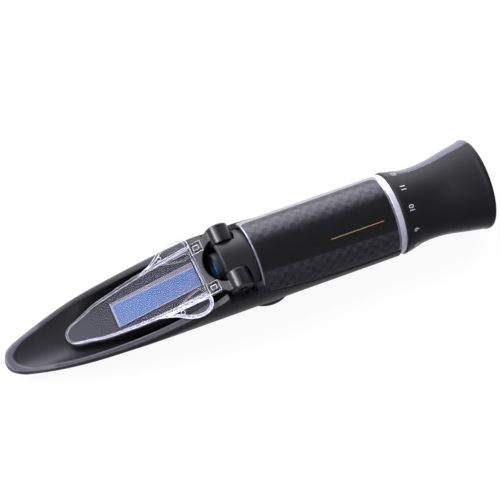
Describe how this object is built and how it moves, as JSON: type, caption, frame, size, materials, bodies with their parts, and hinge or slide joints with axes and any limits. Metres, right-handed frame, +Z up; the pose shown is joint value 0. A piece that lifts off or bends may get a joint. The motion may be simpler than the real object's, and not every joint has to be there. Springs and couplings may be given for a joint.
{
  "type": "salinity refractometer",
  "caption": "Hand-held salinity refractometer: scoop-shaped nose with a prism under a hinged clear cover plate, round metal barrel, turning rubber eyecup and calibration dial underneath.",
  "frame": {"origin": "under the middle of the length, on the plane that the foot ring and the eyecup's rim rest on", "axes": "+X along the barrel from the nose tip to the eyecup, +Z up through the top of the barrel, +Y to the right of someone who looks into the eyecup"},
  "size_m": [0.1959, 0.0364, 0.0365],
  "materials": {
    "housing": "moulded black plastic with a fine satin grain",
    "bed": "dark grey, fine-grained",
    "clear_plastic": "clear polished acrylic",
    "prism_glass": "polished, with ground sides",
    "lens_glass": "polished",
    "coated_lens": "deep blue coating",
    "black_metal": "matt black anodised",
    "bare_metal": "bright, fine turned",
    "foil": "printed black foil under a clear film",
    "rubber": "soft, matt to satin",
    "steel": "plain",
    "brass": "turned",
    "foot": "smooth black"
  },
  "bodies": {
    "housing": {"body_shell": "housing", "front_collar": "housing", "bulkhead": "bed", "barrel_sleeve": "bare_metal", "barrel_label": "foil", "end_ring": "bare_metal", "prism_bed": "bed", "prism_gasket": "rubber", "prism": "prism_glass", "hinge_pins": "steel", "case_screws": "steel", "dial_bezel": "foot", "dial_oring": "rubber", "liner_tube": "black_metal", "baffle_rings": "black_metal", "reticle_holder": "black_metal", "reticle_glass": "lens_glass", "reticle_retainer": "black_metal", "eyepiece_guide": "black_metal", "focus_oring": "rubber"},
    "cover": {"cover_plate": "clear_plastic", "cover_yoke": "housing"},
    "dial": {"scale_dial": "foot", "dial_stem": "brass", "dial_clip": "steel"},
    "objective": {"objective_cell": "black_metal", "objective_lens": "coated_lens", "objective_retainer": "black_metal"},
    "focus": {"eyecup": "rubber", "focus_sleeve": "black_metal"},
    "ocular": {"lens_cell": "black_metal", "field_lens": "lens_glass", "eye_lens": "lens_glass", "lens_spacer": "black_metal", "lens_retainer": "black_metal", "guide_pin": "steel"}
  },
  "joints": [
    {"name": "cover_hinge", "type": "hinge", "parent": "housing", "child": "cover", "pos_m": [-0.00795, 0, 0.0284], "axis": [0, 1, 0], "range_deg": [0, 110]},
    {"name": "focus_turn", "type": "hinge", "parent": "housing", "child": "focus", "pos_m": [0.0607, 0, 0.01825], "axis": [1, 0, 0], "range_deg": [-165, 165]},
    {"name": "lens_slide", "type": "slide", "parent": "housing", "child": "ocular", "axis": [1, 0, 0], "range_m": [-0.0021, 0.0021]},
    {"name": "dial_turn", "type": "hinge", "parent": "housing", "child": "dial", "pos_m": [0.00785, 0, 0], "axis": [0, 0, 1], "range_deg": [-183, 183]},
    {"name": "objective_lift", "type": "slide", "parent": "housing", "child": "objective", "axis": [0, 0, 1], "range_m": [-0.00025, 0.00025]}
  ],
  "couplings": [
    {"joint": "lens_slide", "follows": "focus_turn", "m_per_rad": 0.00070028},
    {"joint": "dial_turn", "follows": "objective_lift", "rad_per_m": 12566}
  ]
}
